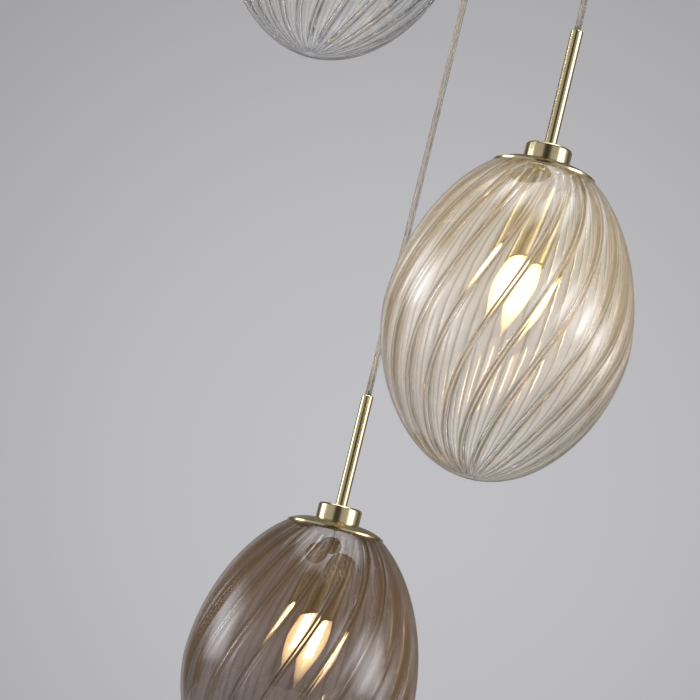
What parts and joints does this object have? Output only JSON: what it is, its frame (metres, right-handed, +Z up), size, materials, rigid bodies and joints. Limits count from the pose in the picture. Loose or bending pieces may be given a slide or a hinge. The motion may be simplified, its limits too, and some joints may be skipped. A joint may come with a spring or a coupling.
{
  "type": "cluster pendant",
  "caption": "Ceiling cluster pendant: egg-shaped twisted-rib glass shades in clear, amber and smoke on brass stems, hung from a round plate on cords of different lengths.",
  "frame": {"origin": "on the ceiling plane at the middle of the mounting bracket's top face", "axes": "+Z up out of the ceiling face, +X to the right along the bracket, +Y away from the viewer towards the cord of the smoke-coloured lamp"},
  "size_m": [0.362, 0.3454, 1.0771],
  "materials": {
    "satin_brass": "satin champagne-gold brass",
    "plated_steel": "zinc-plated steel",
    "spring_steel": "spring steel strip",
    "glass_clear": "clear blown glass with twisted optic ribs",
    "glass_amber": "pale amber blown glass with twisted optic ribs",
    "glass_smoke": "smoke-grey blown glass with twisted optic ribs",
    "bulb_glass": "clear bulb glass",
    "bulb_cap_metal": "nickel-plated screw cap",
    "filament": "lit filament sticks",
    "cord_pvc": "clear flex cord over stranded conductors",
    "holder_plastic": "moulded heat-resistant lamp holder",
    "terminal_plastic": "moulded terminal block",
    "gasket_rubber": "clear silicone washer"
  },
  "bodies": {
    "canopy": {"mounting_bracket": "plated_steel", "bracket_studs": "plated_steel", "dome_nuts": "satin_brass", "earth_screw": "satin_brass", "terminal_block": "terminal_plastic", "canopy_cover": "satin_brass", "grip_nuts": "plated_steel", "cord_grip_clear": "satin_brass", "cord_grip_amber": "satin_brass", "cord_grip_smoke": "satin_brass", "cord_tail_clear": "cord_pvc", "cord_tail_amber": "cord_pvc", "cord_tail_smoke": "cord_pvc"},
    "cord_clear": {"cord_clear": "cord_pvc"},
    "bush_clear": {"stem_bush_clear": "plated_steel"},
    "lamp_clear": {"stem_clear": "satin_brass", "cap_clear": "satin_brass", "flange_clear": "satin_brass", "shade_gasket_clear": "gasket_rubber", "shade_clear": "glass_clear", "shade_spring_clear": "spring_steel", "socket_sleeve_clear": "satin_brass", "stem_nut_clear": "plated_steel", "lamp_holder_clear": "holder_plastic", "inner_lead_clear": "cord_pvc", "bulb_cap_clear": "bulb_cap_metal", "bulb_glass_clear": "bulb_glass", "bulb_filaments_clear": "filament"},
    "cord_amber": {"cord_amber": "cord_pvc"},
    "bush_amber": {"stem_bush_amber": "plated_steel"},
    "lamp_amber": {"stem_amber": "satin_brass", "cap_amber": "satin_brass", "flange_amber": "satin_brass", "shade_gasket_amber": "gasket_rubber", "shade_amber": "glass_amber", "shade_spring_amber": "spring_steel", "socket_sleeve_amber": "satin_brass", "stem_nut_amber": "plated_steel", "lamp_holder_amber": "holder_plastic", "inner_lead_amber": "cord_pvc", "bulb_cap_amber": "bulb_cap_metal", "bulb_glass_amber": "bulb_glass", "bulb_filaments_amber": "filament"},
    "cord_smoke": {"cord_smoke": "cord_pvc"},
    "bush_smoke": {"stem_bush_smoke": "plated_steel"},
    "lamp_smoke": {"stem_smoke": "satin_brass", "cap_smoke": "satin_brass", "flange_smoke": "satin_brass", "shade_gasket_smoke": "gasket_rubber", "shade_smoke": "glass_smoke", "shade_spring_smoke": "spring_steel", "socket_sleeve_smoke": "satin_brass", "stem_nut_smoke": "plated_steel", "lamp_holder_smoke": "holder_plastic", "inner_lead_smoke": "cord_pvc", "bulb_cap_smoke": "bulb_cap_metal", "bulb_glass_smoke": "bulb_glass", "bulb_filaments_smoke": "filament"}
  },
  "joints": [
    {"name": "swing_clear", "type": "hinge", "parent": "canopy", "child": "cord_clear", "pos_m": [-0.09171, -0.05295, -0.044], "axis": [0, 1, 0], "range_deg": [-12, 12]},
    {"name": "height_clear", "type": "slide", "parent": "cord_clear", "child": "bush_clear", "axis": [0, 0, 1], "range_m": [0, 0.1], "deforming": ["cord_clear"]},
    {"name": "tilt_clear", "type": "hinge", "parent": "bush_clear", "child": "lamp_clear", "pos_m": [-0.09171, -0.05295, -0.2], "axis": [1, 0, 0], "range_deg": [-12, 12]},
    {"name": "swing_amber", "type": "hinge", "parent": "canopy", "child": "cord_amber", "pos_m": [0.09171, -0.05295, -0.044], "axis": [0, 1, 0], "range_deg": [-12, 12]},
    {"name": "height_amber", "type": "slide", "parent": "cord_amber", "child": "bush_amber", "axis": [0, 0, 1], "range_m": [0, 0.2], "deforming": ["cord_amber"]},
    {"name": "tilt_amber", "type": "hinge", "parent": "bush_amber", "child": "lamp_amber", "pos_m": [0.09171, -0.05295, -0.471], "axis": [1, 0, 0], "range_deg": [-12, 12]},
    {"name": "swing_smoke", "type": "hinge", "parent": "canopy", "child": "cord_smoke", "pos_m": [0, 0.1059, -0.044], "axis": [0, 1, 0], "range_deg": [-12, 12]},
    {"name": "height_smoke", "type": "slide", "parent": "cord_smoke", "child": "bush_smoke", "axis": [0, 0, 1], "range_m": [0, 0.2], "deforming": ["cord_smoke"]},
    {"name": "tilt_smoke", "type": "hinge", "parent": "bush_smoke", "child": "lamp_smoke", "pos_m": [0, 0.1059, -0.747], "axis": [1, 0, 0], "range_deg": [-12, 12]}
  ]
}
